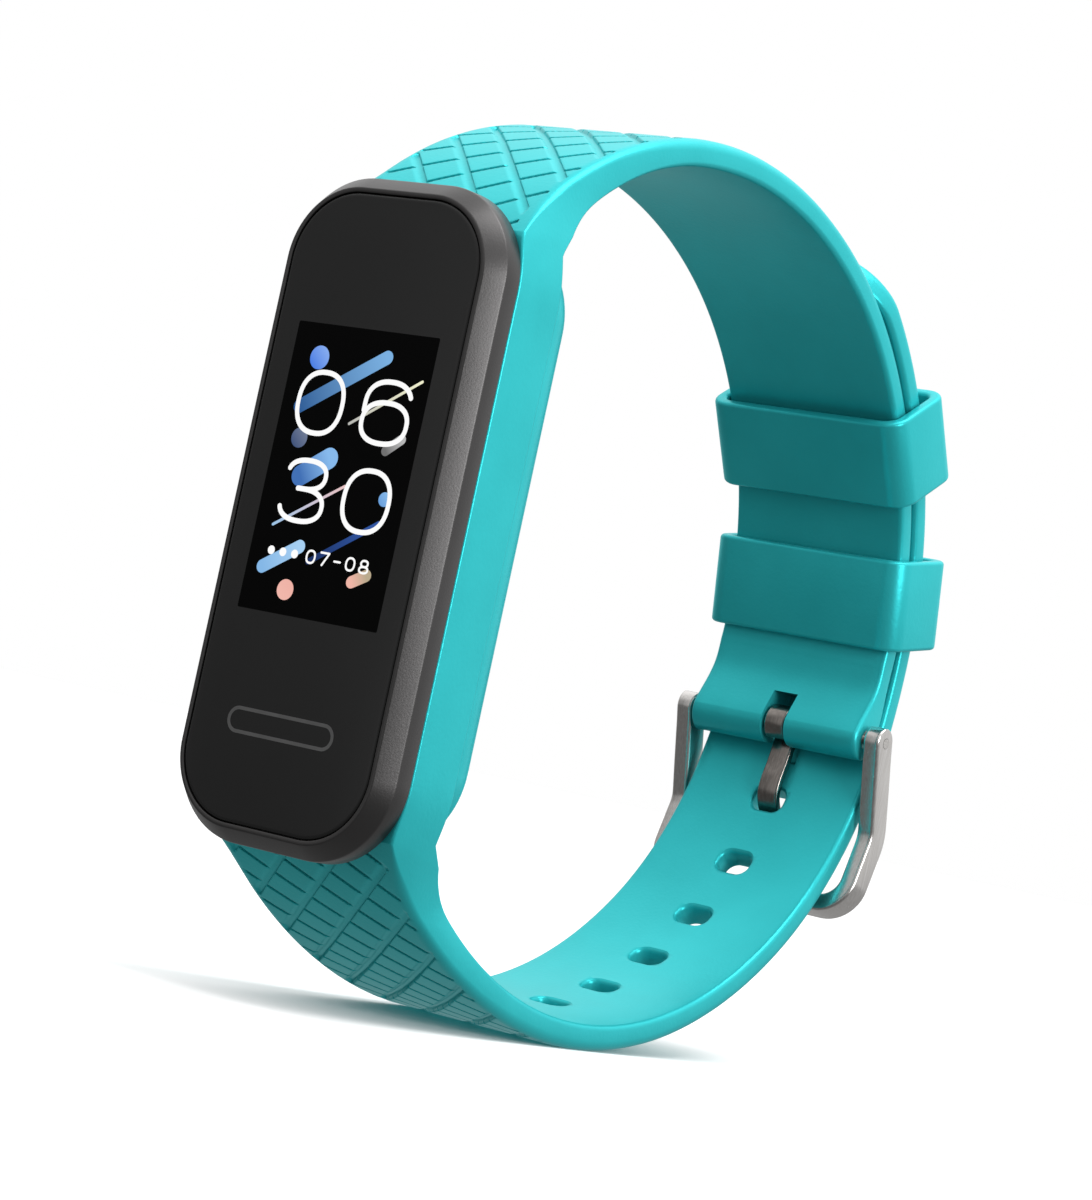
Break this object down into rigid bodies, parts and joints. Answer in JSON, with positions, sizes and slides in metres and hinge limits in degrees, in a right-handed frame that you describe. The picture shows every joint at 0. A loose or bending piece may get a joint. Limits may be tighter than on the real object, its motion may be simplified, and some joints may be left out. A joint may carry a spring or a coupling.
{
  "type": "fitness tracker band",
  "caption": "Slim rectangular display pod pressed into a moulded strap that closes in a loop with a pin buckle and loose keepers.",
  "frame": {"origin": "middle of the wrist loop, level with the middle of the pod", "axes": "+X along the wrist, +Z towards the top of the display, -Y out of the display"},
  "size_m": [0.0198, 0.0692, 0.0669],
  "materials": {
    "silicone": "moulded silicone, teal, satin",
    "steel": "satin stainless steel",
    "dark_steel": "dark plated steel",
    "glass": "black-backed toughened glass, polished",
    "bezel_metal": "anodised aluminium, dark grey, satin",
    "case_plastic": "glass-filled polycarbonate, black, spark-eroded matte",
    "window": "dark tinted polycarbonate lens",
    "foam": "closed-cell foam",
    "adhesive": "pressure-sensitive adhesive film",
    "lcd": "display cell",
    "backlight": "white light guide in a thin frame",
    "polyimide": "amber flexible circuit",
    "chassis_plastic": "moulded ABS",
    "board": "solder-masked glass-epoxy board",
    "chip": "epoxy moulding compound",
    "pouch": "laminated foil pouch",
    "wire": "insulated wire",
    "led": "clear epoxy emitter",
    "gold": "gold-plated contact",
    "tungsten": "sintered tungsten weight"
  },
  "bodies": {
    "band": {"strap": "silicone", "spring_bar_tube": "steel", "spring_bar_spring": "steel"},
    "pod": {"cover_glass": "glass", "bezel": "bezel_metal", "back_cover": "case_plastic", "sensor_window": "window", "charge_contact_left": "gold", "charge_contact_right": "gold", "display_adhesive": "adhesive", "display_panel": "lcd", "display_backlight": "backlight", "display_flex": "polyimide", "touch_key_film": "polyimide", "glass_adhesive": "adhesive", "case_gasket": "foam", "chassis": "chassis_plastic", "main_board": "board", "processor_chip": "chip", "memory_chip": "chip", "motion_sensor": "chip", "charge_controller": "chip", "battery": "pouch", "battery_pad": "foam", "battery_leads": "wire", "sensor_board": "board", "sensor_leds": "led", "photodiode": "chip", "light_barrier": "foam", "motor_case": "steel", "motor_shaft": "steel"},
    "motor_rotor": {"motor_rotor": "tungsten"},
    "keeper_upper": {"keeper_upper": "silicone"},
    "keeper_lower": {"keeper_lower": "silicone"},
    "buckle_frame": {"buckle_frame": "steel"},
    "buckle_tongue": {"buckle_tongue": "dark_steel"},
    "tip_left": {"spring_bar_tip_left": "steel"},
    "tip_right": {"spring_bar_tip_right": "steel"}
  },
  "joints": [
    {"name": "pod_release", "type": "slide", "parent": "band", "child": "pod", "axis": [0, -1, 0], "range_m": [0, 0.016]},
    {"name": "motor_spin", "type": "hinge", "parent": "pod", "child": "motor_rotor", "pos_m": [0, -0.0288, 0.0144], "axis": [0, 1, 0], "continuous": true},
    {"name": "keeper_upper_slide", "type": "hinge", "parent": "band", "child": "keeper_upper", "pos_m": [0, -0.00372, 0.0008], "axis": [1, 0, 0], "range_deg": [-7, 20]},
    {"name": "keeper_lower_slide", "type": "hinge", "parent": "band", "child": "keeper_lower", "pos_m": [0, -0.00372, 0.0008], "axis": [1, 0, 0], "range_deg": [-1, 7]},
    {"name": "frame_hinge", "type": "hinge", "parent": "band", "child": "buckle_frame", "pos_m": [0, 0.0259, -0.00625], "axis": [1, 0, 0], "range_deg": [0, 5]},
    {"name": "tongue_hinge", "type": "hinge", "parent": "buckle_frame", "child": "buckle_tongue", "pos_m": [0, 0.0259, -0.00625], "axis": [1, 0, 0], "range_deg": [0, 3]},
    {"name": "tip_left_press", "type": "slide", "parent": "band", "child": "tip_left", "axis": [1, 0, 0], "range_m": [0, 0.0016], "stiffness_N_per_m": 300, "springref_m": -0.0005, "deforming": ["spring_bar_spring"]},
    {"name": "tip_right_press", "type": "slide", "parent": "band", "child": "tip_right", "axis": [-1, 0, 0], "range_m": [0, 0.0016], "stiffness_N_per_m": 300, "springref_m": -0.0005}
  ]
}
